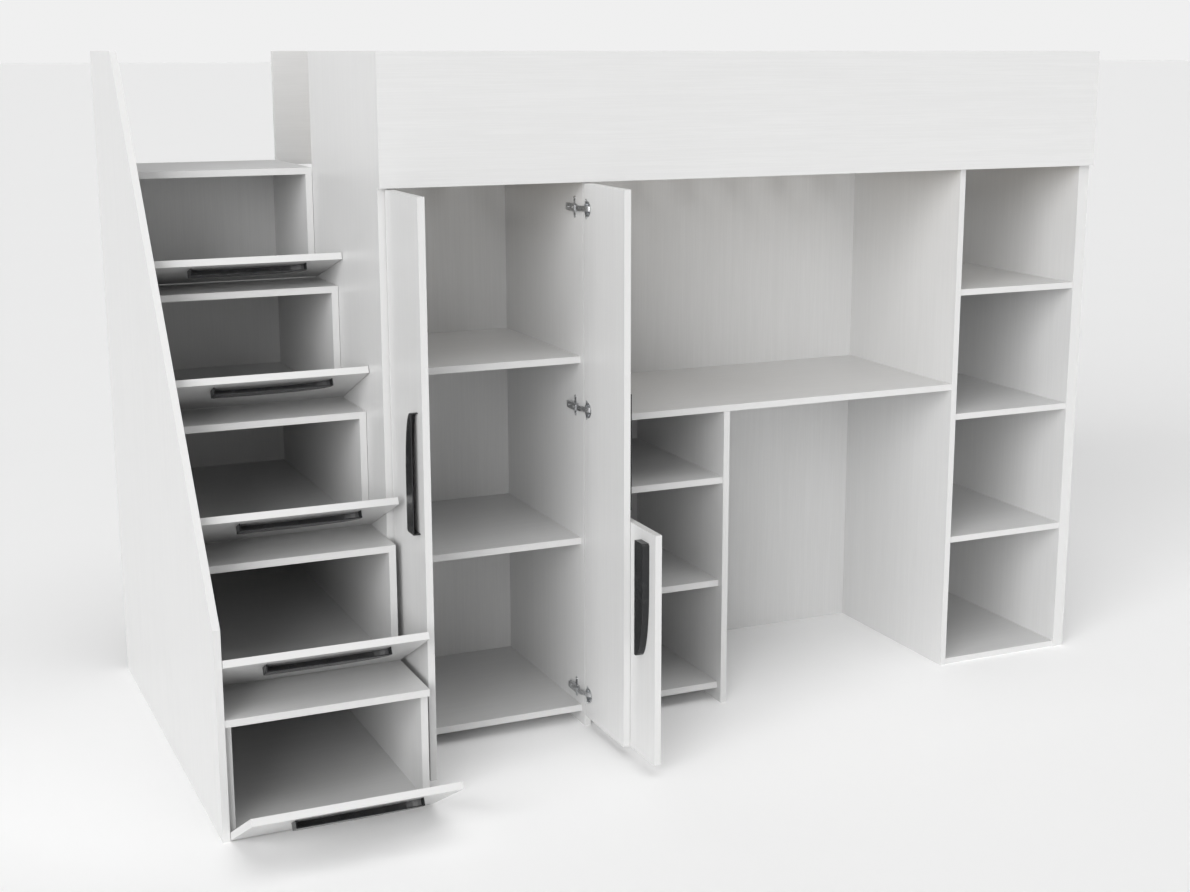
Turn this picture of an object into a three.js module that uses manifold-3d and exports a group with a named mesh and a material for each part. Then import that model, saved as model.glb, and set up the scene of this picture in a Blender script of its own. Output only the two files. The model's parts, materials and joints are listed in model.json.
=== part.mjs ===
// Loft bed with a storage staircase, a wardrobe, a desk and a bookcase built in under it.
// Millimetres, +Z up.  While the parts are laid out, x runs from the outer face of the bed's
// left end panel, y from the front edges of the cabinet sides, z from the floor.  The root group
// then shifts everything so that the origin is the middle of the footprint, on the floor.
import * as THREE from "three";
import Module from "manifold-3d";

const wasm = await Module();
wasm.setup();

// Driving dimensions
const BOARD = 16; // laminated board used for every panel
const BACK_BOARD = 3; // thin hardboard backs of the wardrobe and the bookcase
const BED_LENGTH = 1948;
const BED_DEPTH = 918; // from the cabinet fronts to the outer face of the rear guard
const BED_HEIGHT = 1624;
const GUARD_BOTTOM = 1330;
const CABINET_DEPTH = 500;
const CARCASS_TOP = 1331;
const ENTRY_FRONT = 545; // where the full-height part of the left end panel stops
const ENTRY_SILL = 1331;

const WARDROBE_LEFT = 32; // inner faces of the wardrobe
const WARDROBE_RIGHT = 491;
const WARDROBE_SETBACK = 20; // shelves stand back to let the doors close between the sides
const WARDROBE_SHELF_TOPS = { upper: 919, lower: 475 };
const WARDROBE_BOTTOM_TOP = 48;

const DESK_TOP_HEIGHT = 773;
const DESK_SETBACK = 3;
const DESK_UNIT_RIGHT = 868; // inner face of the desk unit's free side
const DESK_UNIT_SHELF_UPPER_TOP = 591;
const DESK_UNIT_SHELF_LOWER_TOP = 321;
const DESK_UNIT_BOTTOM_TOP = 50;

const BOOKCASE_LEFT = 1556; // inner faces of the bookcase
const BOOKCASE_RIGHT = 1916;
const BOOKCASE_SETBACK = 3;
const BOOKCASE_SHELF_TOPS = [1021, 692, 357];

const STAIR_WIDTH = 462;
const STAIR_GAP = 1; // clearance between the staircase and the bed
const STAIR_BACK = 892;
const STEP_COUNT = 5;
const STEP_RISE = 268.75;
const STEP_RUN = 203.5;
const FIRST_STEP_FRONT = -271;
const FIRST_STEP_NOSE = 16; // the lowest tread reaches out over its flap
const OUTER_PANEL_FRONT = -288;
const OUTER_PANEL_KNEE = 466; // height where the front edge starts to lean back
const OUTER_PANEL_TOP_FRONT = 592;

const FLAP_HEIGHT = 244;
const FLAP_FLOOR_GAP = 2;
const FLAP_FACE_GAP = 1;
const FLAP_OPEN_DEGREES = [60.5, 61.5, 65.5, 67, 74]; // how far each flap stands open

const DOOR_THICKNESS = 16;
const DOOR_BOTTOM = 29;
const WARDROBE_DOOR_TOP = 1327;
const WARDROBE_DOOR_WIDTH = 224;
const DESK_DOOR_TOP = 573;
const DESK_DOOR_WIDTH = 355;

const HANDLE_LENGTH = 272;
const HANDLE_WIDTH = 43;
const HANDLE_DEPTH = 17;
const HANDLE_WALL = 2.5;
const HANDLE_TAPER = 155; // length of the curved end
const HANDLE_EDGE_ROUND = 1.2;

const CUP_RADIUS = 17.5;
const CUP_DEPTH = 12;
const CUP_EDGE_DISTANCE = 22; // from the hinge-side edge of a door to the cup centre
const HINGE_ARM_LENGTH = 70;

const SLAT_COUNT = 13;
const SLAT_WIDTH = 70;
const SLAT_THICKNESS = 16;
const SLAT_START = 124; // leaves the foot of the bed entry clear
const LEDGER_HEIGHT = 20;
const LEDGER_DEPTH = 28;

// Shift from the layout frame to the middle of the footprint
const FOOTPRINT_CENTRE_X = 742.5;
const FOOTPRINT_CENTRE_Y = 208.8;

const root = new THREE.Group();
root.name = "loft_bed_with_desk";
root.position.set(-FOOTPRINT_CENTRE_X, -FOOTPRINT_CENTRE_Y, 0);

// Materials, one per finish, copied for each mesh
function finish(name, color, roughness, metalness) {
  const material = new THREE.MeshStandardMaterial({ color, roughness, metalness });
  material.name = name;
  return material;
}
const whiteBoard = () => finish("white_board", 0xe9e9e7, 0.45, 0);
const hardboard = () => finish("white_hardboard", 0xe4e3df, 0.55, 0);
const pine = () => finish("pine", 0xdccdb4, 0.6, 0);
const anthracite = () => finish("anthracite_handle", 0x3a3b3d, 0.4, 0.6);
const steel = () => finish("bright_steel", 0xc9ccd0, 0.25, 1);

// A mesh from any geometry, named and added to the root group
function addMesh(name, geometry, material) {
  const mesh = new THREE.Mesh(geometry, material);
  mesh.name = name;
  root.add(mesh);
  return mesh;
}

// A box between two corners of the layout frame
function boxGeometry(x0, x1, y0, y1, z0, z1) {
  const geometry = new THREE.BoxGeometry(x1 - x0, y1 - y0, z1 - z0);
  geometry.translate((x0 + x1) / 2, (y0 + y1) / 2, (z0 + z1) / 2);
  return geometry;
}

function board(name, x0, x1, y0, y1, z0, z1, material = whiteBoard()) {
  return addMesh(name, boxGeometry(x0, x1, y0, y1, z0, z1), material);
}

// A flat board standing in the YZ plane: the outline is a list of [y, z], the board runs x0 to x1
function uprightGeometry(outline, x0, x1) {
  const shape = new THREE.Shape(outline.map(([y, z]) => new THREE.Vector2(y, z)));
  const geometry = new THREE.ExtrudeGeometry(shape, { depth: x1 - x0, bevelEnabled: false });
  // the shape's x, y, z become the layout's y, z, x
  geometry.applyMatrix4(
    new THREE.Matrix4().set(0, 0, 1, x0, 1, 0, 0, 0, 0, 1, 0, 0, 0, 0, 0, 1),
  );
  return geometry;
}

// A flat board lying in the XY plane: the outline is a list of [x, y], the board runs z0 to z1
function lyingGeometry(outline, z0, z1) {
  const shape = new THREE.Shape(outline.map(([x, y]) => new THREE.Vector2(x, y)));
  const geometry = new THREE.ExtrudeGeometry(shape, { depth: z1 - z0, bevelEnabled: false });
  geometry.translate(0, 0, z0);
  return geometry;
}

// Geometry to solid and back, used only where pieces are joined or cut
function solidOf(geometry) {
  const source = geometry.index ? geometry.toNonIndexed() : geometry;
  const positions = source.getAttribute("position");
  const found = new Map();
  const vertices = [];
  const triangles = [];
  for (let i = 0; i < positions.count; i += 1) {
    const point = [positions.getX(i), positions.getY(i), positions.getZ(i)];
    const key = point.map((value) => value.toFixed(4)).join(",");
    if (!found.has(key)) {
      found.set(key, found.size);
      vertices.push(...point);
    }
    triangles.push(found.get(key));
  }
  const mesh = new wasm.Mesh({
    numProp: 3,
    vertProperties: new Float32Array(vertices),
    triVerts: new Uint32Array(triangles),
  });
  return new wasm.Manifold(mesh);
}

function geometryOf(solid) {
  const mesh = solid.getMesh();
  const geometry = new THREE.BufferGeometry();
  geometry.setAttribute("position", new THREE.BufferAttribute(mesh.vertProperties, 3));
  geometry.setIndex(new THREE.BufferAttribute(mesh.triVerts, 1));
  geometry.computeVertexNormals();
  return geometry;
}

// Bed frame: two end panels that reach the floor and two guards across them
const rearGuardFront = BED_DEPTH - BOARD;
addMesh(
  "left_end_panel",
  uprightGeometry(
    [
      [0, 0],
      [rearGuardFront, 0],
      [rearGuardFront, ENTRY_SILL],
      [ENTRY_FRONT, ENTRY_SILL],
      [ENTRY_FRONT, BED_HEIGHT],
      [0, BED_HEIGHT],
    ],
    0,
    BOARD,
  ),
  whiteBoard(),
);
board("right_end_panel", BED_LENGTH - BOARD, BED_LENGTH, 0, rearGuardFront, 0, BED_HEIGHT);
board("front_guard", 0, BED_LENGTH, -BOARD, 0, GUARD_BOTTOM, BED_HEIGHT);
board("rear_guard", 0, BED_LENGTH, rearGuardFront, BED_DEPTH, GUARD_BOTTOM, BED_HEIGHT);

// Bed base: a ledger screwed to each guard carries a roll of slats tied by two straps
const ledgerTop = CARCASS_TOP + LEDGER_HEIGHT;
const ledgerEnd = BED_LENGTH - BOARD - 4;
board("front_ledger", SLAT_START - 8, ledgerEnd, 0, LEDGER_DEPTH, CARCASS_TOP, ledgerTop, pine());
board(
  "rear_ledger",
  SLAT_START - 8,
  ledgerEnd,
  rearGuardFront - LEDGER_DEPTH,
  rearGuardFront,
  CARCASS_TOP,
  ledgerTop,
  pine(),
);
const slatPitch = (ledgerEnd - SLAT_START - SLAT_WIDTH - 6) / (SLAT_COUNT - 1);
let slats = null;
for (let i = 0; i < SLAT_COUNT; i += 1) {
  const x = SLAT_START + i * slatPitch;
  const slat = solidOf(
    boxGeometry(x, x + SLAT_WIDTH, 2, rearGuardFront - 2, ledgerTop, ledgerTop + SLAT_THICKNESS),
  );
  slats = slats ? slats.add(slat) : slat;
}
for (const y of [150, rearGuardFront - 150]) {
  const strap = boxGeometry(
    SLAT_START + 10,
    SLAT_START + (SLAT_COUNT - 1) * slatPitch + SLAT_WIDTH - 10,
    y - 14,
    y + 14,
    ledgerTop - 2,
    ledgerTop + 2,
  );
  slats = slats.add(solidOf(strap));
}
addMesh("slatted_base", geometryOf(slats), pine());

// Wardrobe: two sides, a bottom and two shelves set back behind the doors, thin back
board("wardrobe_side", BOARD, WARDROBE_LEFT, 0, CABINET_DEPTH, 0, CARCASS_TOP);
board("wardrobe_divider", WARDROBE_RIGHT, WARDROBE_RIGHT + BOARD, 0, CABINET_DEPTH, 0, CARCASS_TOP);
for (const [place, top] of Object.entries(WARDROBE_SHELF_TOPS)) {
  board(
    "wardrobe_shelf_" + place,
    WARDROBE_LEFT,
    WARDROBE_RIGHT,
    WARDROBE_SETBACK,
    CABINET_DEPTH,
    top - BOARD,
    top,
  );
}
board(
  "wardrobe_bottom",
  WARDROBE_LEFT,
  WARDROBE_RIGHT,
  WARDROBE_SETBACK,
  CABINET_DEPTH,
  WARDROBE_BOTTOM_TOP - BOARD,
  WARDROBE_BOTTOM_TOP,
);
const dividerMiddle = WARDROBE_RIGHT + BOARD / 2;
const bookcaseMiddle = BOOKCASE_LEFT - BOARD / 2;
board(
  "wardrobe_back",
  BOARD,
  dividerMiddle,
  CABINET_DEPTH,
  CABINET_DEPTH + BACK_BOARD,
  WARDROBE_BOTTOM_TOP - BOARD,
  CARCASS_TOP,
  hardboard(),
);

// Desk: top between the two dividers, a full back down to the floor, and the unit under the left end
const deskLeft = WARDROBE_RIGHT + BOARD;
const deskRight = BOOKCASE_LEFT - BOARD;
const deskUnderside = DESK_TOP_HEIGHT - BOARD;
board("desk_top", deskLeft, deskRight, DESK_SETBACK, CABINET_DEPTH, deskUnderside, DESK_TOP_HEIGHT);
board("desk_back", dividerMiddle, bookcaseMiddle, CABINET_DEPTH, CABINET_DEPTH + BOARD, 0, CARCASS_TOP);
board("desk_unit_side", DESK_UNIT_RIGHT, DESK_UNIT_RIGHT + BOARD, 0, CABINET_DEPTH, 0, deskUnderside);
board(
  "desk_unit_shelf_upper",
  deskLeft,
  DESK_UNIT_RIGHT,
  5,
  CABINET_DEPTH,
  DESK_UNIT_SHELF_UPPER_TOP - BOARD,
  DESK_UNIT_SHELF_UPPER_TOP,
);
board(
  "desk_unit_shelf_lower",
  deskLeft,
  DESK_UNIT_RIGHT,
  WARDROBE_SETBACK,
  CABINET_DEPTH,
  DESK_UNIT_SHELF_LOWER_TOP - BOARD,
  DESK_UNIT_SHELF_LOWER_TOP,
);
board(
  "desk_unit_bottom",
  deskLeft,
  DESK_UNIT_RIGHT,
  WARDROBE_SETBACK,
  CABINET_DEPTH,
  DESK_UNIT_BOTTOM_TOP - BOARD,
  DESK_UNIT_BOTTOM_TOP,
);

// Bookcase: divider, right side against the end panel, three shelves and a bottom on the floor
board("bookcase_divider", BOOKCASE_LEFT - BOARD, BOOKCASE_LEFT, 0, CABINET_DEPTH, 0, CARCASS_TOP);
board("bookcase_side", BOOKCASE_RIGHT, BOOKCASE_RIGHT + BOARD, 0, CABINET_DEPTH, 0, CARCASS_TOP);
BOOKCASE_SHELF_TOPS.forEach((top, i) => {
  board(
    "bookcase_shelf_" + (i + 1),
    BOOKCASE_LEFT,
    BOOKCASE_RIGHT,
    BOOKCASE_SETBACK,
    CABINET_DEPTH,
    top - BOARD,
    top,
  );
});
board("bookcase_bottom", BOOKCASE_LEFT, BOOKCASE_RIGHT, BOOKCASE_SETBACK, CABINET_DEPTH, 0, BOARD);
board(
  "bookcase_back",
  bookcaseMiddle,
  BED_LENGTH - BOARD,
  CABINET_DEPTH,
  CABINET_DEPTH + BACK_BOARD,
  0,
  CARCASS_TOP,
  hardboard(),
);

// Staircase: outer panel, two stepped walls, five treads that are also compartment floors
const stairRight = -STAIR_GAP;
const stairLeft = stairRight - STAIR_WIDTH;
const outerInnerFace = stairLeft + BOARD;
const stairBackFront = STAIR_BACK - BOARD;
const stepFront = (k) => FIRST_STEP_FRONT + (k - 1) * STEP_RUN;
const stepTop = (k) => k * STEP_RISE;
addMesh(
  "stair_outer_panel",
  uprightGeometry(
    [
      [OUTER_PANEL_FRONT, 0],
      [STAIR_BACK, 0],
      [STAIR_BACK, BED_HEIGHT],
      [OUTER_PANEL_TOP_FRONT, BED_HEIGHT],
      [OUTER_PANEL_FRONT, OUTER_PANEL_KNEE],
    ],
    stairLeft,
    outerInnerFace,
  ),
  whiteBoard(),
);

function steppedOutline() {
  const outline = [
    [FIRST_STEP_FRONT, 0],
    [stairBackFront, 0],
    [stairBackFront, stepTop(STEP_COUNT) - BOARD],
  ];
  for (let k = STEP_COUNT; k >= 1; k -= 1) {
    outline.push([stepFront(k), stepTop(k) - BOARD]);
    if (k > 1) outline.push([stepFront(k), stepTop(k - 1) - BOARD]);
  }
  return outline;
}
addMesh(
  "stair_left_wall",
  uprightGeometry(steppedOutline(), outerInnerFace, outerInnerFace + BOARD),
  whiteBoard(),
);
addMesh("stair_right_wall", uprightGeometry(steppedOutline(), stairRight - BOARD, stairRight), whiteBoard());

for (let k = 1; k <= STEP_COUNT; k += 1) {
  const front = stepFront(k) - (k === 1 ? FIRST_STEP_NOSE : 0);
  const top = stepTop(k);
  if (k === STEP_COUNT) {
    board("tread_" + k, outerInnerFace, stairRight, front, STAIR_BACK, top - BOARD, top);
  } else {
    const notch = stepFront(k + 1);
    const outline = [
      [outerInnerFace, front],
      [stairRight, front],
      [stairRight, notch],
      [stairRight - BOARD, notch],
      [stairRight - BOARD, stairBackFront],
      [outerInnerFace + BOARD, stairBackFront],
      [outerInnerFace + BOARD, notch],
      [outerInnerFace, notch],
    ];
    addMesh("tread_" + k, lyingGeometry(outline, top - BOARD, top), whiteBoard());
  }
}
board(
  "stair_floor",
  outerInnerFace + BOARD,
  stairRight - BOARD,
  FIRST_STEP_FRONT,
  stairBackFront,
  0,
  BOARD,
);
board(
  "stair_back",
  outerInnerFace,
  stairRight,
  stairBackFront,
  STAIR_BACK,
  0,
  stepTop(STEP_COUNT) - BOARD,
);

// Handle: a shell pull, open along its straight lip, blunt at one end and tapered at the other.
// Local frame: the lip runs along +x from the blunt end, the shell reaches back to -y, and stands
// up in +z from the face it is fixed to.
function handleOutline(inset, overrun) {
  const outline = [
    [inset, overrun],
    [inset, -HANDLE_WIDTH + inset + 4],
    [inset + 4, -HANDLE_WIDTH + inset],
  ];
  const curveStart = HANDLE_LENGTH - HANDLE_TAPER;
  const steps = 10;
  for (let i = 0; i <= steps; i += 1) {
    const turn = ((i / steps) * Math.PI) / 2;
    const x = curveStart + (HANDLE_TAPER - inset) * Math.sin(turn);
    const y = -(HANDLE_WIDTH - inset - 6) * Math.cos(turn) - 6;
    outline.push([x, y]);
  }
  outline.push([HANDLE_LENGTH - inset, overrun]);
  return outline;
}

function shellBlock(inset, overrun, height) {
  const inner = inset + HANDLE_EDGE_ROUND;
  const shape = new THREE.Shape(handleOutline(inner, overrun).map(([x, y]) => new THREE.Vector2(x, y)));
  const geometry = new THREE.ExtrudeGeometry(shape, {
    depth: height,
    bevelEnabled: true,
    bevelThickness: HANDLE_EDGE_ROUND,
    bevelSize: HANDLE_EDGE_ROUND,
    bevelSegments: 2,
  });
  geometry.translate(0, 0, -HANDLE_EDGE_ROUND);
  return solidOf(geometry);
}

function handleSolid() {
  const outer = shellBlock(0, 20, HANDLE_DEPTH);
  const inner = shellBlock(HANDLE_WALL, 40, HANDLE_DEPTH - HANDLE_WALL);
  const room = solidOf(boxGeometry(-10, HANDLE_LENGTH + 10, -HANDLE_WIDTH - 10, 0, 0, HANDLE_DEPTH + 10));
  return outer.subtract(inner).intersect(room);
}
const handle = handleSolid();

// A handle placed by a matrix whose columns are the lip direction, the direction out of the shell's
// open side, and the direction away from the face
function addHandle(name, origin, along, open, out) {
  const matrix = new THREE.Matrix4().makeBasis(along, open, out).setPosition(origin);
  const geometry = geometryOf(handle);
  geometry.applyMatrix4(matrix);
  if (matrix.determinant() < 0) {
    const index = geometry.getIndex();
    for (let i = 0; i < index.count; i += 3) {
      const second = index.getX(i + 1);
      index.setX(i + 1, index.getX(i + 2));
      index.setX(i + 2, second);
    }
  }
  return addMesh(name, geometry, anthracite());
}

// Flaps: hinged along the bottom on the tread below, each standing open
const flapLeft = outerInnerFace + 1;
const flapRight = stairRight - 1;
const FLAP_LIP = 219; // distance of the handle's lip from the flap's bottom edge
const FLAP_HANDLE_LEFT = -354; // the handle's blunt end
for (let k = 1; k <= STEP_COUNT; k += 1) {
  const angle = THREE.MathUtils.degToRad(FLAP_OPEN_DEGREES[k - 1]);
  const hinge = new THREE.Vector3(
    0,
    stepFront(k) - FLAP_FACE_GAP - BOARD,
    stepTop(k - 1) + FLAP_FLOOR_GAP,
  );
  const place = new THREE.Matrix4().makeRotationX(angle).setPosition(hinge);
  const flap = boxGeometry(flapLeft, flapRight, 0, BOARD, 0, FLAP_HEIGHT);
  flap.applyMatrix4(place);
  addMesh("flap_" + k, flap, whiteBoard());
  const up = new THREE.Vector3(0, -Math.sin(angle), Math.cos(angle));
  const out = new THREE.Vector3(0, -Math.cos(angle), -Math.sin(angle));
  const along = new THREE.Vector3(1, 0, 0);
  const start = hinge
    .clone()
    .addScaledVector(up, FLAP_LIP)
    .addScaledVector(out, 0.3)
    .setX(FLAP_HANDLE_LEFT);
  addHandle("flap_handle_" + k, start, along, up, out);
}

// Doors, standing open at a right angle, each bored for its hinge cups
function doorGeometry(x0, y0, width, z0, z1, cupHeights, cupFace) {
  let door = solidOf(boxGeometry(x0, x0 + DOOR_THICKNESS, y0 - width, y0, z0, z1));
  for (const height of cupHeights) {
    const cup = new THREE.CylinderGeometry(CUP_RADIUS, CUP_RADIUS, CUP_DEPTH * 2, 32);
    cup.rotateZ(Math.PI / 2);
    cup.translate(cupFace, y0 - CUP_EDGE_DISTANCE, height);
    door = door.subtract(solidOf(cup));
  }
  return geometryOf(door);
}
const wardrobeHinges = [1269, 797, 87];
const deskHinges = [493, 109];
const doorGap = 4;
const leftDoorFace = WARDROBE_LEFT - BOARD; // outer face of the open left door
const rightDoorFace = WARDROBE_RIGHT; // inner face of the open right door
const deskDoorFace = deskLeft + 1; // outer face of the open desk door
addMesh(
  "wardrobe_door_left",
  doorGeometry(
    leftDoorFace,
    -doorGap,
    WARDROBE_DOOR_WIDTH,
    DOOR_BOTTOM,
    WARDROBE_DOOR_TOP,
    wardrobeHinges,
    leftDoorFace + DOOR_THICKNESS,
  ),
  whiteBoard(),
);
addMesh(
  "wardrobe_door_right",
  doorGeometry(
    rightDoorFace,
    -doorGap,
    WARDROBE_DOOR_WIDTH,
    DOOR_BOTTOM,
    WARDROBE_DOOR_TOP,
    wardrobeHinges,
    rightDoorFace,
  ),
  whiteBoard(),
);
addMesh(
  "desk_unit_door",
  doorGeometry(
    deskDoorFace,
    -3,
    DESK_DOOR_WIDTH,
    DOOR_BOTTOM,
    DESK_DOOR_TOP,
    deskHinges,
    deskDoorFace + DOOR_THICKNESS,
  ),
  whiteBoard(),
);

const UP = new THREE.Vector3(0, 0, 1);
const DOWN = new THREE.Vector3(0, 0, -1);
const FORWARD = new THREE.Vector3(0, -1, 0);
const BACKWARD = new THREE.Vector3(0, 1, 0);
const LEFT = new THREE.Vector3(-1, 0, 0);
const RIGHT = new THREE.Vector3(1, 0, 0);
const wardrobeLip = -doorGap - WARDROBE_DOOR_WIDTH + 30;
addHandle(
  "wardrobe_handle_left",
  new THREE.Vector3(leftDoorFace, wardrobeLip, 592),
  UP,
  FORWARD,
  LEFT,
);
addHandle(
  "wardrobe_handle_right",
  new THREE.Vector3(rightDoorFace + DOOR_THICKNESS, wardrobeLip, 592),
  UP,
  FORWARD,
  RIGHT,
);
addHandle(
  "desk_unit_handle",
  new THREE.Vector3(deskDoorFace, -284, 547),
  DOWN,
  BACKWARD,
  LEFT,
);

// Concealed hinges: a winged plate on the cabinet side and an arm whose nose reaches into the cup.
// Local frame: the side's face is x = 0, the inside of the cupboard is +x.
function hingeGeometry(side, face, height) {
  const piece = (x0, x1, y0, y1, z0, z1) =>
    solidOf(
      boxGeometry(
        face + Math.min(side * x0, side * x1),
        face + Math.max(side * x0, side * x1),
        y0,
        y1,
        height + z0,
        height + z1,
      ),
    );
  const wing = piece(0, 2, 40, 54, -25, 25);
  const plate = piece(0, 6, 24, 70, -8, 8);
  const arm = piece(5, 15, 19, 5 + HINGE_ARM_LENGTH, -6, 6);
  const bridge = piece(5, 27, 19, 24, -6, 6);
  const nose = piece(17, 27, 7, 23, -5, 5);
  return geometryOf(wing.add(plate).add(arm).add(bridge).add(nose));
}
wardrobeHinges.forEach((height, i) => {
  addMesh("wardrobe_hinge_left_" + (i + 1), hingeGeometry(1, WARDROBE_LEFT, height), steel());
  addMesh("wardrobe_hinge_right_" + (i + 1), hingeGeometry(-1, WARDROBE_RIGHT, height), steel());
});
deskHinges.forEach((height, i) => {
  addMesh("desk_unit_hinge_" + (i + 1), hingeGeometry(1, deskLeft, height), steel());
});

export default root;
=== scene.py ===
import json
import math

import bmesh
import bpy
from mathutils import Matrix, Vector


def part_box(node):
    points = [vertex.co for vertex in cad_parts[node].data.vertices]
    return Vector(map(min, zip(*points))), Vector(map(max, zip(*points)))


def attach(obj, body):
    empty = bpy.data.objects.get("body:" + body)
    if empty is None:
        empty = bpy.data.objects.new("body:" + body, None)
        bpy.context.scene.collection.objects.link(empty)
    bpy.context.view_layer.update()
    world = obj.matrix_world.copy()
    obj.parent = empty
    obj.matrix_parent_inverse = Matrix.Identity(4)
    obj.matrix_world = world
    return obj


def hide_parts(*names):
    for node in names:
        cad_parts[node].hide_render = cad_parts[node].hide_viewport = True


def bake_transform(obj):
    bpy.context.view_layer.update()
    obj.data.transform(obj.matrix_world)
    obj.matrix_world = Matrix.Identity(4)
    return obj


# Loft bed with a storage staircase, a wardrobe, a desk and a bookcase under the bed. Everything is in
# metres in the part's own frame: +X along the bed from the staircase to the bookcase, +Y to the back,
# +Z up, the origin in the middle of the footprint on the floor.
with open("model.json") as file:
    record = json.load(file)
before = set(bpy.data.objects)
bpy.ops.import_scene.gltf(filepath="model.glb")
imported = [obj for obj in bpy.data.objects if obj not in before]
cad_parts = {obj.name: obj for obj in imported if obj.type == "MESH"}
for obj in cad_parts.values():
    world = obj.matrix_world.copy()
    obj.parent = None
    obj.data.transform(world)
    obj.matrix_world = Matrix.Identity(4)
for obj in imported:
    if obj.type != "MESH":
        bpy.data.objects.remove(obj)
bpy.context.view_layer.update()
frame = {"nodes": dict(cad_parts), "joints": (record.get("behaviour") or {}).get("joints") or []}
parts = frame["nodes"]


# The boards: chipboard faced on both sides with white laminate that has a fine pressed grain
# along the board, and a thin plastic band glued round the cut edges, which is a little smoother.
# The arrises are broken by the edge-banding machine, so every board has a small round on them.
EDGE_ROUND = 0.0009
BOARD_WHITE = (0.625, 0.625, 0.623)
GRAIN_WHITE = (0.6, 0.6, 0.598)
BAND_WHITE = (0.605, 0.605, 0.602)
HANDLED_GREY = (0.54, 0.535, 0.53)


class Shade:
    """A value inside a finish: sums written on it add the nodes that work them out."""

    def __init__(self, finish, socket):
        self.finish = finish
        self.socket = socket

    def sum(self, operation, *others):
        return self.finish.node("ShaderNodeMath", {"operation": operation}, dict(enumerate(others)))

    def __add__(self, other):
        return self.sum("ADD", self, other)

    def __radd__(self, other):
        return self.sum("ADD", other, self)

    def __sub__(self, other):
        return self.sum("SUBTRACT", self, other)

    def __rsub__(self, other):
        return self.sum("SUBTRACT", other, self)

    def __mul__(self, other):
        return self.sum("MULTIPLY", self, other)

    def __rmul__(self, other):
        return self.sum("MULTIPLY", other, self)

    def __gt__(self, other):
        return self.sum("GREATER_THAN", self, other)

    def __abs__(self):
        return self.sum("ABSOLUTE", self)


class Finish:
    """The nodes of a material, or of the sky, added one call at a time."""

    def __init__(self, material, outlet="Principled BSDF", **surface):
        self.material = material
        self.material.use_nodes = True
        self.tree = self.material.node_tree
        self.surface = self.tree.nodes[outlet]
        self.set(self.surface, surface)

    def set(self, made, values):
        for key, value in values.items():
            if isinstance(value, Shade):
                self.tree.links.new(value.socket, made.inputs[key])
            elif isinstance(value, tuple) and made.inputs[key].type == "RGBA":
                made.inputs[key].default_value = (*value, 1)
            else:
                made.inputs[key].default_value = value

    def node(self, kind, settings=None, values=None, output=0):
        made = self.tree.nodes.new(kind)
        for name, value in (settings or {}).items():
            if name == "stops":
                made.color_ramp.elements[0].position = value[0]
                made.color_ramp.elements[1].position = value[1]
            else:
                setattr(made, name, value)
        self.set(made, values or {})
        return Shade(self, made.outputs[output])

    def place(self):
        return self.node("ShaderNodeTexCoord", output="Object")

    def facing(self, way):
        """1 on the faces that look along a direction or against it, 0 on the others."""
        normal = self.node("ShaderNodeTexCoord", output="Normal")
        dot = {"operation": "DOT_PRODUCT"}
        along = self.node("ShaderNodeVectorMath", dot, {0: normal, 1: way}, "Value")
        return abs(along) > 0.7

    def stretched(self, scale):
        return self.node("ShaderNodeVectorMath", {"operation": "MULTIPLY"}, {0: self.place(), 1: scale})

    def noise(self, where, scale=1.0, detail=2.0, roughness=0.5):
        return self.node(
            "ShaderNodeTexNoise",
            None,
            {"Vector": where, "Scale": scale, "Detail": detail, "Roughness": roughness},
        )

    def ramp(self, value, low, high):
        """0 below low, 1 above high."""
        return self.node("ShaderNodeValToRGB", {"stops": (low, high)}, {"Fac": value})

    def mix(self, factor, low, high):
        return self.node(
            "ShaderNodeMix", {"data_type": "RGBA"}, {"Factor": factor, 6: low, 7: high}, output=2
        )

    def bump(self, height, strength, distance):
        return self.node(
            "ShaderNodeBump", None, {"Height": height, "Strength": strength, "Distance": distance}
        )


def new_finish(name, **surface):
    return Finish(bpy.data.materials.new(name), **surface)


GRAIN_RUN = {"x": (7, 420, 420), "y": (420, 7, 420), "z": (420, 420, 7)}
GRAIN_CLOUD = {"x": (1.6, 70, 70), "y": (70, 1.6, 70), "z": (70, 70, 1.6)}
laminates = {}


def white_laminate(grain, thickness):
    """White laminate whose grain runs along an axis, on a board whose thickness lies along a direction."""
    key = (grain, tuple(round(c, 3) for c in thickness))
    if key in laminates:
        return laminates[key]
    finish = new_finish("white_laminate_" + str(len(laminates) + 1), IOR=1.5)
    fine = finish.noise(finish.stretched(GRAIN_RUN[grain]), 1.0, 3.0, 0.6)
    cloud = finish.noise(finish.stretched(GRAIN_CLOUD[grain]), 1.0, 2.0, 0.5)
    face = finish.facing(thickness)
    pores = finish.ramp(fine * 0.7 + cloud * 0.3, 0.42, 0.62)
    touched = finish.ramp(finish.noise(finish.place(), 3.1, 4.0, 0.6), 0.55, 0.85)
    grain_colour = finish.mix(pores, GRAIN_WHITE, BOARD_WHITE)
    board_colour = finish.mix(face, BAND_WHITE, grain_colour)
    finish.set(
        finish.surface,
        {
            "Base Color": finish.mix(touched * 0.06, board_colour, HANDLED_GREY),
            "Roughness": 0.36 + 0.1 * fine - 0.05 * face + 0.08 * touched,
            "Normal": finish.bump(fine * face + cloud * 0.4, 0.12, 0.0003),
        },
    )
    laminates[key] = finish.material
    return finish.material


def round_over(piece, width, least_turn):
    """Breaks the arrises of a piece, where its faces turn by at least an angle in degrees."""
    arris = piece.modifiers.new("broken arris", "BEVEL")
    arris.width = width
    arris.segments = 2
    arris.limit_method = "ANGLE"
    arris.angle_limit = math.radians(least_turn)
    arris.harden_normals = True


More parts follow.
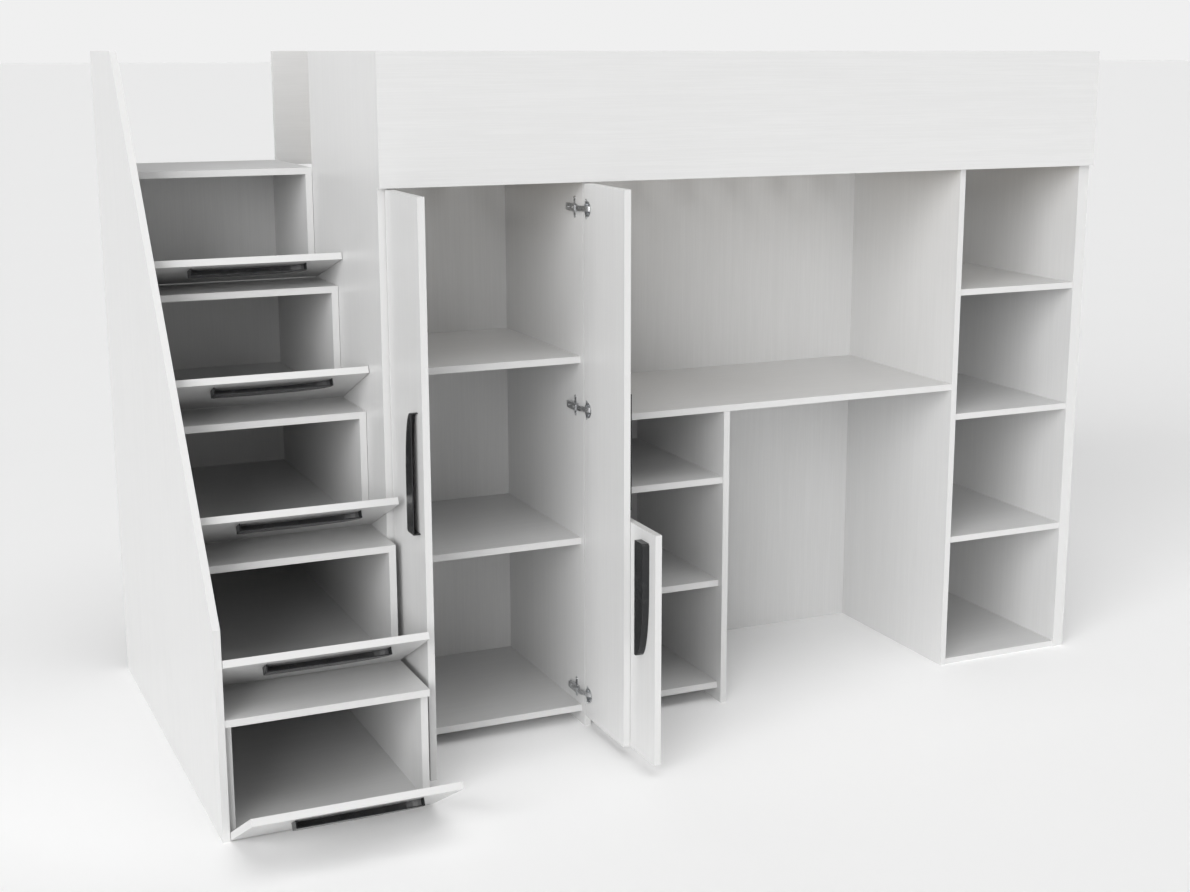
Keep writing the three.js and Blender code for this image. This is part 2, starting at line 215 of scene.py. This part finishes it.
def dress(name, material, edge):
    """Gives a piece its material and a rounded edge, and shades it smooth."""
    piece = parts[name]
    piece.data.materials.clear()
    piece.data.materials.append(material)
    if edge:
        round_over(piece, edge, 40)
    piece.data.shade_smooth()
    return piece


def finish_board(name, grain, thickness):
    """Gives a board its laminate: the grain's axis, and the direction of the board's thickness."""
    dress(name, white_laminate(grain, thickness), EDGE_ROUND)


# The frame of the bed: two end panels down to the floor, and a guard across the front and the back
# that is screwed over their edges.
for name in ("left_end_panel", "right_end_panel"):
    finish_board(name, "z", (1, 0, 0))
for name in ("front_guard", "rear_guard"):
    finish_board(name, "x", (0, 1, 0))

# Uprights of the wardrobe, the desk unit and the bookcase: laminated boards stood on end with the grain
# upright, joined to the shelves between them by hidden fittings.
for name in (
    "wardrobe_side",
    "wardrobe_divider",
    "desk_unit_side",
    "bookcase_divider",
    "bookcase_side",
):
    finish_board(name, "z", (1, 0, 0))

# Shelves, bottoms and the desk top: laminated boards laid flat between the uprights and held by hidden
# fittings, with the grain from side to side.
for name in (
    "wardrobe_shelf_upper",
    "wardrobe_shelf_lower",
    "wardrobe_bottom",
    "desk_top",
    "desk_unit_shelf_upper",
    "desk_unit_shelf_lower",
    "desk_unit_bottom",
    "bookcase_shelf_1",
    "bookcase_shelf_2",
    "bookcase_shelf_3",
    "bookcase_bottom",
):
    finish_board(name, "x", (0, 0, 1))

# Backs: thin white hardboard nailed behind the wardrobe and the bookcase, and a full board behind the
# desk, all with the grain upright.
for name in ("wardrobe_back", "desk_back", "bookcase_back"):
    finish_board(name, "z", (0, 1, 0))

# The staircase: a tall outer panel with a sloping front edge, two stepped walls under the treads,
# and five treads that each roof a locker.
for name in ("stair_outer_panel", "stair_left_wall", "stair_right_wall"):
    finish_board(name, "z", (1, 0, 0))
finish_board("stair_back", "z", (0, 1, 0))
for name in ("stair_floor", "tread_1", "tread_2", "tread_3", "tread_4", "tread_5"):
    finish_board(name, "x", (0, 0, 1))

# Stair flaps: each riser is a board that tips forward about its bottom edge, so its thickness lies
# along a direction that turns with the angle at which the flap stands open.
STEPS = range(1, 6)
for number in STEPS:
    name = "flap_" + str(number)
    joint = next(j for j in frame["joints"] if j["child"] == name)
    open_angle = math.radians(-joint["range_deg"][0])
    finish_board(name, "x", (0, math.cos(open_angle), math.sin(open_angle)))

# Doors of the wardrobe and of the desk unit: single laminated boards with the grain upright, each one
# hung on concealed hinges so that it closes between the cabinet sides.
for name in ("wardrobe_door_left", "wardrobe_door_right", "desk_unit_door"):
    finish_board(name, "z", (1, 0, 0))

# Pulls: thin metal shells of a long curved shape, lacquered nearly black, and screwed to the doors and
# the flaps from behind.
HANDLE_GREY = (0.016, 0.0165, 0.0175)
HANDLE_RUB = (0.05, 0.05, 0.052)
HANDLE_CREASE = math.radians(32)
lacquer = new_finish("dark_lacquer", IOR=1.42)
speck = lacquer.noise(lacquer.place(), 700.0, 2.0, 0.5)
rub = lacquer.ramp(lacquer.noise(lacquer.place(), 14.0, 3.0, 0.5), 0.5, 0.9)
lacquer.set(
    lacquer.surface,
    {
        "Base Color": lacquer.mix(rub * 0.3 + speck * 0.1, HANDLE_GREY, HANDLE_RUB),
        "Roughness": 0.22 + 0.1 * rub + 0.08 * speck,
        "Normal": lacquer.bump(speck, 0.06, 0.0001),
    },
)
handles = ["wardrobe_handle_left", "wardrobe_handle_right", "desk_unit_handle"]
handles += ["flap_handle_" + str(number) for number in STEPS]
for name in handles:
    handle = dress(name, lacquer.material, 0)
    handle.data.set_sharp_from_angle(angle=HANDLE_CREASE)

# Bed base: planed pine slats held by two straps and laid loose on two pine ledgers, which are screwed
# to the inside of the front and the rear guard.
PINE_PALE = (0.72, 0.65, 0.54)
PINE_RING = (0.60, 0.50, 0.37)
PINE_KNOT = (0.34, 0.23, 0.14)
PINE_EDGE = 0.0012


def planed_pine(name, run, cross):
    finish = new_finish(name, IOR=1.5)
    rings = finish.noise(finish.stretched(run), 1.0, 3.0, 0.55)
    growth = finish.ramp(rings, 0.4, 0.66)
    knots = finish.ramp(finish.noise(finish.stretched(cross), 1.0, 1.0, 0.4), 0.74, 0.8)
    wood = finish.mix(growth, PINE_RING, PINE_PALE)
    finish.set(
        finish.surface,
        {
            "Base Color": finish.mix(knots * 0.7, wood, PINE_KNOT),
            "Roughness": 0.52 + 0.14 * growth,
            "Normal": finish.bump(rings + knots * 0.3, 0.3, 0.0006),
        },
    )
    return finish.material


pine_across = planed_pine("pine_across", (60, 2.5, 260), (15, 7, 15))
pine_along = planed_pine("pine_along", (2.5, 60, 260), (7, 15, 15))
dress("slatted_base", pine_across, PINE_EDGE)
for name in ("front_ledger", "rear_ledger"):
    dress(name, pine_along, PINE_EDGE)

# Concealed hinges: a winged plate screwed to the cabinet side, a channelled arm with its two setting
# screws clipped on it, and a pressed cup let into the door, joined to the arm by a cranked link.
PLATE_STEEL = (0.60, 0.61, 0.62)
PLATE_DULL = (0.42, 0.42, 0.43)
plated = new_finish("nickel_plate", Metallic=1.0)
brushing = plated.noise(plated.stretched((300, 300, 2400)), 1.0, 3.0, 0.6)
dulling = plated.ramp(plated.noise(plated.place(), 160.0, 4.0, 0.6), 0.45, 0.75)
plated.set(
    plated.surface,
    {
        "Base Color": plated.mix(dulling, PLATE_STEEL, PLATE_DULL),
        "Roughness": 0.2 + 0.12 * brushing + 0.14 * dulling,
        "Normal": plated.bump(brushing, 0.1, 0.0001),
    },
)


class Pressing:
    """Sheet-metal piece made up in a mesh; at() turns the fitting's own sizes, in mm, into places."""

    def __init__(self, name, at):
        self.name = name
        self.at = at
        self.mesh = bmesh.new()

    def block(self, low, high):
        corners = [
            self.mesh.verts.new(self.at(u, v, w))
            for w in (low[2], high[2])
            for v in (low[1], high[1])
            for u in (low[0], high[0])
        ]
        for face in ((0, 2, 3, 1), (4, 5, 7, 6), (0, 1, 5, 4), (2, 6, 7, 3), (0, 4, 6, 2), (1, 3, 7, 5)):
            self.mesh.faces.new([corners[i] for i in face])

    def turned(self, v, w, profile, sides=28):
        """A round piece about an axis square to the cabinet side: the profile is (radius, height) pairs."""
        rings = []
        for radius, height in profile:
            if radius == 0:
                rings.append([self.mesh.verts.new(self.at(height, v, w))])
                continue
            ring = []
            for i in range(sides):
                turn = 2 * math.pi * i / sides
                place = self.at(height, v + radius * math.cos(turn), w + radius * math.sin(turn))
                ring.append(self.mesh.verts.new(place))
            rings.append(ring)
        for low, high in zip(rings, rings[1:]):
            for i in range(sides):
                j = (i + 1) % sides
                corners = [low[i % len(low)], low[j % len(low)], high[j % len(high)], high[i % len(high)]]
                self.mesh.faces.new(list(dict.fromkeys(corners)))

    def screw(self, v, w, seat, radius=3.4):
        """A pan head standing on its seat, with a round recess for the driver."""
        recess = radius * 0.45
        head = [
            (0, seat - 0.4),
            (radius, seat - 0.4),
            (radius, seat + 0.5),
            (radius * 0.72, seat + 1.1),
            (recess, seat + 1.1),
            (recess * 0.7, seat + 0.3),
            (0, seat + 0.3),
        ]
        self.turned(v, w, head, 20)

    def strap(self, bends, half_width, half_thickness):
        """A bent strip: each bend is a place (u, v) and the direction (u, v) of the strip's thickness."""
        edges = []
        for (u, v), (lean_u, lean_v) in bends:
            edges.append(
                [
                    self.mesh.verts.new(self.at(u + lean_u * t, v + lean_v * t, w))
                    for t, w in (
                        (-half_thickness, -half_width),
                        (half_thickness, -half_width),
                        (half_thickness, half_width),
                        (-half_thickness, half_width),
                    )
                ]
            )
        for near, far in zip(edges, edges[1:]):
            for i in range(4):
                j = (i + 1) % 4
                self.mesh.faces.new((near[i], near[j], far[j], far[i]))
        self.mesh.faces.new(edges[0])
        self.mesh.faces.new(edges[-1])

    def finish(self, material, body, material_slot, edge=0.0003):
        bmesh.ops.recalc_face_normals(self.mesh, faces=self.mesh.faces)
        shape = bpy.data.meshes.new(self.name)
        self.mesh.to_mesh(shape)
        self.mesh.free()
        shape.materials.append(material)
        piece = bpy.data.objects.new(self.name, shape)
        bpy.context.scene.collection.objects.link(piece)
        if edge:
            round_over(piece, edge, 30)
        shape.shade_smooth()
        shape.set_sharp_from_angle(angle=math.radians(35))
        if body:
            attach(piece, body)
        return piece


# Sizes of a hinge, in mm: u is the height over the cabinet side, v the depth into the cabinet and w
# the height along its edge, from the middle of the hinge.
CABINET_FRONT_BEFORE_ARM = 7  # the arm's solid starts this far inside the cabinet's front edge
CUP_CENTRE_INSET = 22  # from the door's hinge edge
CUP_RADIUS = 17.1
CUP_RIM_RADIUS = 18.6
CUP_HOLLOW_RADIUS = 15.6
CUP_DEPTH = 11.2
EAR_INNER = 15  # the two ears of the cup, above and below it, that its screws go through
EAR_OUTER = 20
PLATE_SHEET = 1.4
PLATE_WING = 20  # the wings' screws above and below the middle of the plate
PLATE_WING_V = 47
PLATE_WING_ROUND = 5.6
ARM_TOP = 11.6
ARM_CHANNEL_LOW = 4.8  # the two sides of the arm's channel reach down to here
ARM_HALF_WIDTH = 7.5
ARM_SHEET = 1.2
ARM_SCREWS = ((34, 3.6), (60, 4))  # place and head radius of the side and the depth setting screw
LINK_HALF_WIDTH = 6
LINK_HALF_THICKNESS = 1.1


def concealed_hinge(node, door, side):
    """side is 1 where the hinge stands on the right face of its board, -1 on the left face."""
    low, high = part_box(node)
    door_low, door_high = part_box(door)
    board_face = low.x if side > 0 else high.x
    door_face = door_high.x if side > 0 else door_low.x
    cabinet_front = low.y - CABINET_FRONT_BEFORE_ARM / 1000
    height = (low.z + high.z) / 2

    def at(u, v, w):
        return Vector((board_face + side * u / 1000, cabinet_front + v / 1000, height + w / 1000))

    inside = (door_face - board_face) * side * 1000
    cup = (door_high.y - cabinet_front) * 1000 - CUP_CENTRE_INSET

    plate = Pressing(node + ".plate", at)
    plate.block((0, 42, -PLATE_WING), (PLATE_SHEET, 52, PLATE_WING))
    for end in (-PLATE_WING, PLATE_WING):
        wing = [(0, 0), (PLATE_WING_ROUND, 0), (PLATE_WING_ROUND, PLATE_SHEET), (0, PLATE_SHEET)]
        plate.turned(PLATE_WING_V, end, wing)
        plate.screw(PLATE_WING_V, end, PLATE_SHEET)
    plate.block((0, 30, -7), (4.5, 68, 7))
    plate.finish(plated.material, "carcass", "bright_steel")

    arm = Pressing(node + ".arm", at)
    arm.block((10, 22, -ARM_HALF_WIDTH), (ARM_TOP, 75, ARM_HALF_WIDTH))
    arm.block((ARM_CHANNEL_LOW, 26, -ARM_HALF_WIDTH - ARM_SHEET), (ARM_TOP, 73, -ARM_HALF_WIDTH))
    arm.block((ARM_CHANNEL_LOW, 26, ARM_HALF_WIDTH), (ARM_TOP, 73, ARM_HALF_WIDTH + ARM_SHEET))
    arm.block((9, 19.5, -6), (13.5, 26, 6))
    for v, radius in ARM_SCREWS:
        arm.screw(v, 0, ARM_TOP, radius)
    arm.turned(21.5, -6.6, [(0, 13.4), (1.5, 13.4), (1.5, 14.4), (0, 14.4)], 12)
    arm = arm.finish(plated.material, "carcass", "bright_steel")
    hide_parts(node)

    dish = Pressing(node + ".cup", at)
    bowl = [
        (0, inside - CUP_DEPTH),
        (CUP_RADIUS - 0.3, inside - CUP_DEPTH),
        (CUP_RADIUS, inside + 0.1),
        (CUP_RIM_RADIUS, inside + 0.1),
        (CUP_RIM_RADIUS, inside + 0.7),
        (CUP_HOLLOW_RADIUS + 0.6, inside + 0.9),
        (CUP_HOLLOW_RADIUS, inside - 10),
        (0, inside - 10),
    ]
    dish.turned(cup, 0, bowl, 36)
    for end in (-1, 1):
        ear_low, ear_high = sorted((end * EAR_INNER, end * EAR_OUTER))
        dish.block((inside + 0.1, cup + 1, ear_low), (inside + 1.1, cup + 11, ear_high))
        dish.screw(cup + 6, end * EAR_OUTER, inside + 1.1, 3.2)
    dish.finish(plated.material, door, "bright_steel", 0)

    link = Pressing(node + ".link", at)
    crank = (
        ((10.5, 20), (1, 0)),
        ((10, 12), (1, 0)),
        ((8, 3), (0.9, 0.4)),
        ((inside * 0.7 + 3, -6), (0.8, 0.6)),
        ((inside + 1, cup + 8), (0.8, 0.6)),
        ((inside - 5, cup + 1), (0.8, 0.6)),
    )
    link.strap(crank, LINK_HALF_WIDTH, LINK_HALF_THICKNESS)
    link = link.finish(plated.material, None, "bright_steel", 0)
    at(10, 12, 0)
    at(inside + 1, cup + 8, 0)
    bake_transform(link)


for place in ("left", "right"):
    for number in (1, 2, 3):
        concealed_hinge(
            "wardrobe_hinge_" + place + "_" + str(number),
            "wardrobe_door_" + place,
            1 if place == "left" else -1,
        )
for number in (1, 2):
    concealed_hinge("desk_unit_hinge_" + str(number), "desk_unit_door", 1)

# Back fixings: small round-headed nails along the edges of the thin backs, and confirmat screws with
# white press-in caps where the rear guard, the staircase back and the desk back are screwed to the
# upright boards.
HEAD_HEIGHT = 0.0012
NAIL_RADIUS = 0.0022
NAIL_SPACING = 0.13
CAP_RADIUS = 0.006
GUARD_SCREW_INSET = 0.06  # from the top and bottom edges of the guard
BOARD_MIDDLE = 0.008  # from a board's face to the middle of its edge, where what is fixed to it is nailed
CAP_WHITE = (0.66, 0.66, 0.655)
CAP_SHADE = (0.56, 0.56, 0.55)
cap_plastic = new_finish("cap_plastic", IOR=1.46)
moulding = cap_plastic.noise(cap_plastic.place(), 260.0, 3.0, 0.5)
cap_plastic.set(
    cap_plastic.surface,
    {
        "Base Color": cap_plastic.mix(moulding, CAP_WHITE, CAP_SHADE),
        "Roughness": 0.3 + 0.16 * moulding,
        "Normal": cap_plastic.bump(moulding, 0.1, 0.0002),
    },
)


def rear_fixings(board, spots, radius, material, material_slot):
    """Round heads on the rear face of a board; spots are (x, z) in metres."""
    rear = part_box(board)[1].y
    heads = Pressing(board + ".rear_fixings", lambda u, v, w: Vector((v, rear + u, w)))
    head = [
        (0, -0.001),
        (radius, -0.001),
        (radius, HEAD_HEIGHT * 0.4),
        (radius * 0.8, HEAD_HEIGHT * 0.85),
        (0, HEAD_HEIGHT),
    ]
    for x, z in spots:
        heads.turned(x, z, head, 18)
    heads.finish(material, "carcass", material_slot, 0)


for board in ("wardrobe_back", "bookcase_back"):
    low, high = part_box(board)
    rows = int((high.z - low.z) / NAIL_SPACING)
    columns = int((high.x - low.x) / NAIL_SPACING)
    spots = []
    for row in range(rows + 1):
        z = low.z + BOARD_MIDDLE + (high.z - low.z - 2 * BOARD_MIDDLE) * row / rows
        spots += [(low.x + BOARD_MIDDLE, z), (high.x - BOARD_MIDDLE, z)]
    for column in range(1, columns):
        x = low.x + (high.x - low.x) * column / columns
        spots += [(x, low.z + BOARD_MIDDLE), (x, high.z - BOARD_MIDDLE)]
    rear_fixings(board, spots, NAIL_RADIUS, plated.material, "bright_steel")

low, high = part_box("rear_guard")
guard_share = GUARD_SCREW_INSET / (high.z - low.z)
for board, edge_in, shares in (
    ("rear_guard", BOARD_MIDDLE, (guard_share, 0.5, 1 - guard_share)),
    ("stair_back", BOARD_MIDDLE, (0.05, 0.28, 0.5, 0.72, 0.95)),
    ("desk_back", 0.01, (0.04, 0.35, 0.65, 0.96)),
):
    low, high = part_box(board)
    spots = [
        (x, low.z + (high.z - low.z) * share)
        for x in (low.x + edge_in, high.x - edge_in)
        for share in shares
    ]
    rear_fixings(board, spots, CAP_RADIUS, cap_plastic.material, "white_board")

# Camera: level with the top edge of the guards, in front of the staircase end, looking down a little
# and to the right along the bed.
CAMERA_TILT = 12.29  # degrees downwards
CAMERA_TURN = 24.48  # degrees to the right of square on
camera_data = bpy.data.cameras.new("camera")
camera_data.lens = 53.18
camera_data.sensor_width = 36
camera_data.shift_x = -0.0151
camera_data.shift_y = -0.0101
camera = bpy.data.objects.new("camera", camera_data)
bpy.context.scene.collection.objects.link(camera)
camera.location = (-1.8786, -3.9499, 1.6239)
camera.rotation_euler = (math.radians(90 - CAMERA_TILT), 0, math.radians(-CAMERA_TURN))
bpy.context.scene.camera = camera

# Studio floor: one wide level sheet that the bed stands on, in matt and nearly white paint with the
# faint clouding of wear.
FLOOR_REACH = 250
FLOOR_WHITE = (0.965, 0.965, 0.965)
FLOOR_WORN = (0.95, 0.95, 0.95)
floor_corners = [
    (x * FLOOR_REACH, y * FLOOR_REACH, 0) for x, y in ((-1, -1), (1, -1), (1, 1), (-1, 1))
]
floor_mesh = bpy.data.meshes.new("studio_floor")
floor_mesh.from_pydata(floor_corners, [], [(0, 1, 2, 3)])
floor = bpy.data.objects.new("studio_floor", floor_mesh)
bpy.context.scene.collection.objects.link(floor)
floor_paint = new_finish("studio_paint", Roughness=0.9)
scuffed = floor_paint.noise(floor_paint.place(), 1.3, 3.0, 0.5)
floor_paint.set(floor_paint.surface, {"Base Color": floor_paint.mix(scuffed, FLOOR_WORN, FLOOR_WHITE)})
floor_mesh.materials.append(floor_paint.material)

# Studio sky: white in a broad band above the horizon and dimmer overhead, the same all round, so that
# it fills the shadows evenly.
SKY_STRENGTH = 0.16
HORIZON_STRENGTH = 0.87
sky_world = bpy.data.worlds.new("studio_sky")
sky = Finish(sky_world, "Background", Color=(1, 1, 1))
heading = sky.node("ShaderNodeTexCoord", output="Generated")
rise = sky.node("ShaderNodeSeparateXYZ", None, {"Vector": heading}, "Z")
fade = {"From Min": 0.12, "From Max": 0.3, "To Min": HORIZON_STRENGTH, "To Max": SKY_STRENGTH}
sky.set(sky.surface, {"Strength": sky.node("ShaderNodeMapRange", None, {"Value": rise, **fade})})
bpy.context.scene.world = sky_world

# Lamps: a low broad one from the left, a high one over the bed and a weak one from the front. They
# stand so far off that they light the whole floor alike.
for name, comes_from, softness, strength in (
    ("lamp_left", (-5.3, -4.7, 1.75), 50, 3.2),
    ("lamp_overhead", (0.2, -1.2, 4.6), 60, 1.35),
    ("lamp_front", (-1.8, -6.7, 2.2), 50, 0.15),
):
    lamp = bpy.data.lights.new(name, "SUN")
    lamp.energy = strength
    lamp.angle = math.radians(softness)
    stand = bpy.data.objects.new(name, lamp)
    bpy.context.scene.collection.objects.link(stand)
    stand.location = Vector(comes_from) * 2
    stand.rotation_euler = Vector(comes_from).to_track_quat("Z", "Y").to_euler()

bpy.context.scene.view_settings.view_transform = "Standard"
